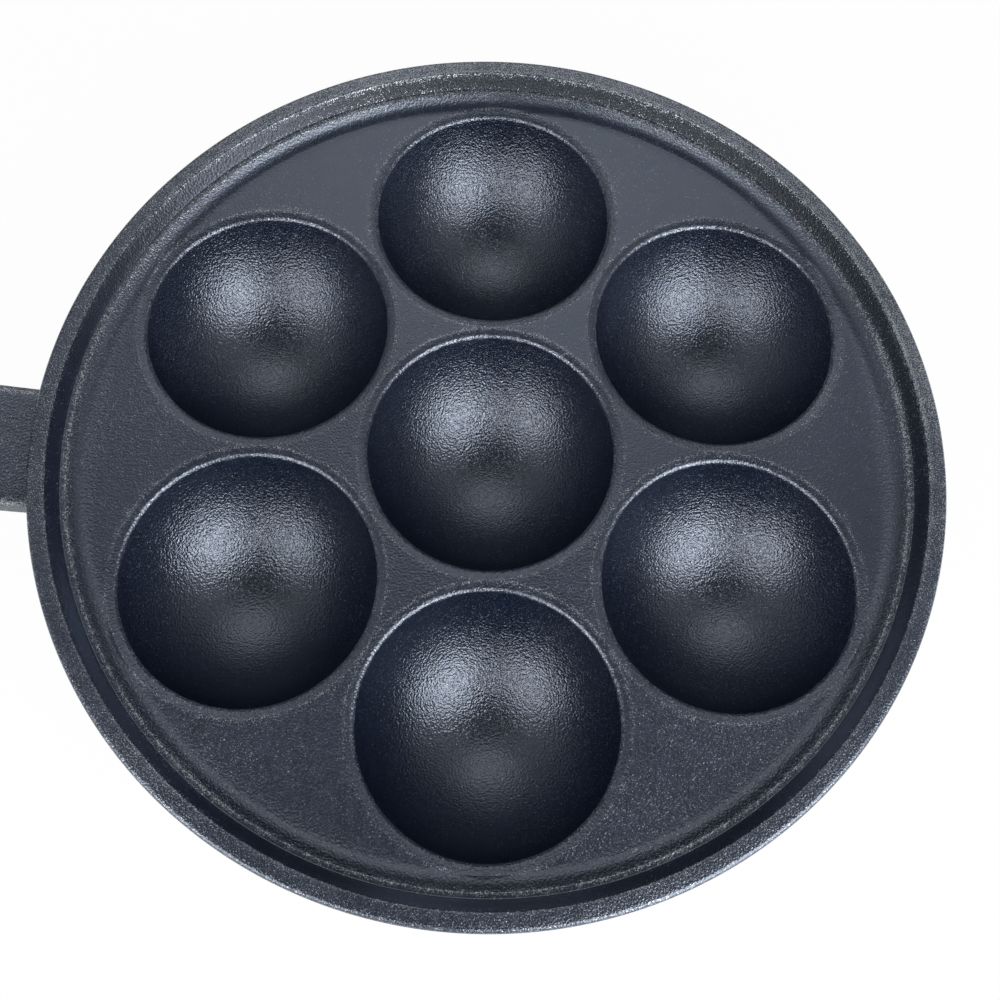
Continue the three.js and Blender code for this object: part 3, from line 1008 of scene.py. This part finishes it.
def seenDirectly(paint):  # 1 for rays that look at or mirror the scene
    kinds = ("Is Camera Ray", "Is Glossy Ray", "Is Transmission Ray")
    seen, mirrored, through = (paint.node("LightPath", {}, {}, kind) for kind in kinds)
    return seen.atLeast(mirrored).atLeast(through)


def makeFloor():
    corners, radius = 96, studio["floorRadius"] * mm
    angle = np.arange(corners) * 2 * math.pi / corners
    edge = [(radius * math.cos(a), radius * math.sin(a), -studio["floorDrop"] * mm) for a in angle]
    mesh = bpy.data.meshes.new("Floor")
    mesh.from_pydata(edge, [], [tuple(range(corners))])
    floor = bpy.data.objects.new("Floor", mesh)
    bpy.context.scene.collection.objects.link(floor)
    paint = Paint(bpy.data.materials.new("PaleFloor"))
    matte = paint.node("BsdfDiffuse", {}, {"Color": (*studio["floorColour"], 1)})
    glow = paint.node("Emission", {}, {"Color": (1, 1, 1, 1), "Strength": 1.0})
    lit = paint.node("MixShader", {}, {0: seenDirectly(paint) * studio["floorGlow"], 1: matte, 2: glow})
    fromBelow = paint.node("NewGeometry", {}, {}, "Backfacing")
    clear = paint.node("BsdfTransparent", {}, {})
    surface = paint.node("MixShader", {}, {0: fromBelow, 1: lit, 2: clear})
    paint.node("OutputMaterial", {}, {"Surface": surface})
    mesh.materials.append(paint.owner)


def makeLamp(name, place, watts, tint):
    lamp = bpy.data.lights.new(name, "AREA")
    lamp.shape, lamp.size, lamp.energy, lamp.color = "DISK", studio["lampSize"] * mm, watts, tint
    made = bpy.data.objects.new(name, lamp)
    made.location = Vector(place) * mm
    made.rotation_euler = (Vector((0, 0, mouthZ * mm)) - made.location).to_track_quat("-Z", "Y").to_euler()
    bpy.context.scene.collection.objects.link(made)


def makeWorld():
    world = bpy.data.worlds.new("Studio")
    bpy.context.scene.world = world
    paint = Paint(world)
    toward = paint.node("TexCoord", {}, {}, "Generated")
    strength = studio["ceiling"]
    for direction, begins, full, level in studio["softLights"]:
        middle = tuple(Vector(direction).normalized())
        facing = paint.node("VectorMath", {"operation": "DOT_PRODUCT"}, {0: toward, 1: middle}, "Value")
        strength = facing.ramp(begins, full) * level + strength
    lights = paint.node("Background", {}, {"Color": (*studio["ceilingTint"], 1), "Strength": strength})
    backdrop = paint.node("Background", {}, {"Color": (1, 1, 1, 1), "Strength": 1})
    seen = paint.node("LightPath", {}, {}, "Is Camera Ray")
    paint.node("OutputWorld", {}, {"Surface": paint.node("MixShader", {}, {0: seen, 1: lights, 2: backdrop})})


camera = {
    "place": (-2.86, -86.63, 269.17),
    "turnDegrees": (17.05, -1.37, 0.40),
    "lens": 37.25,
    "sensor": 36,
}


def makeCamera():
    made = bpy.data.objects.new("Camera", bpy.data.cameras.new("Camera"))
    made.location = Vector(camera["place"]) * mm
    made.rotation_euler = [math.radians(turn) for turn in camera["turnDegrees"]]
    made.data.lens, made.data.sensor_width = camera["lens"], camera["sensor"]
    made.data.clip_start = 0.01
    bpy.context.scene.collection.objects.link(made)
    bpy.context.scene.camera = made


makeFloor()
makeLamp("LeftLamp", studio["leftPlace"], studio["leftWatts"], studio["leftTint"])
makeLamp("RightLamp", studio["rightPlace"], studio["rightWatts"], studio["rightTint"])
makeWorld()
makeCamera()
bpy.context.scene.view_settings.view_transform = "Standard"
print("studio")
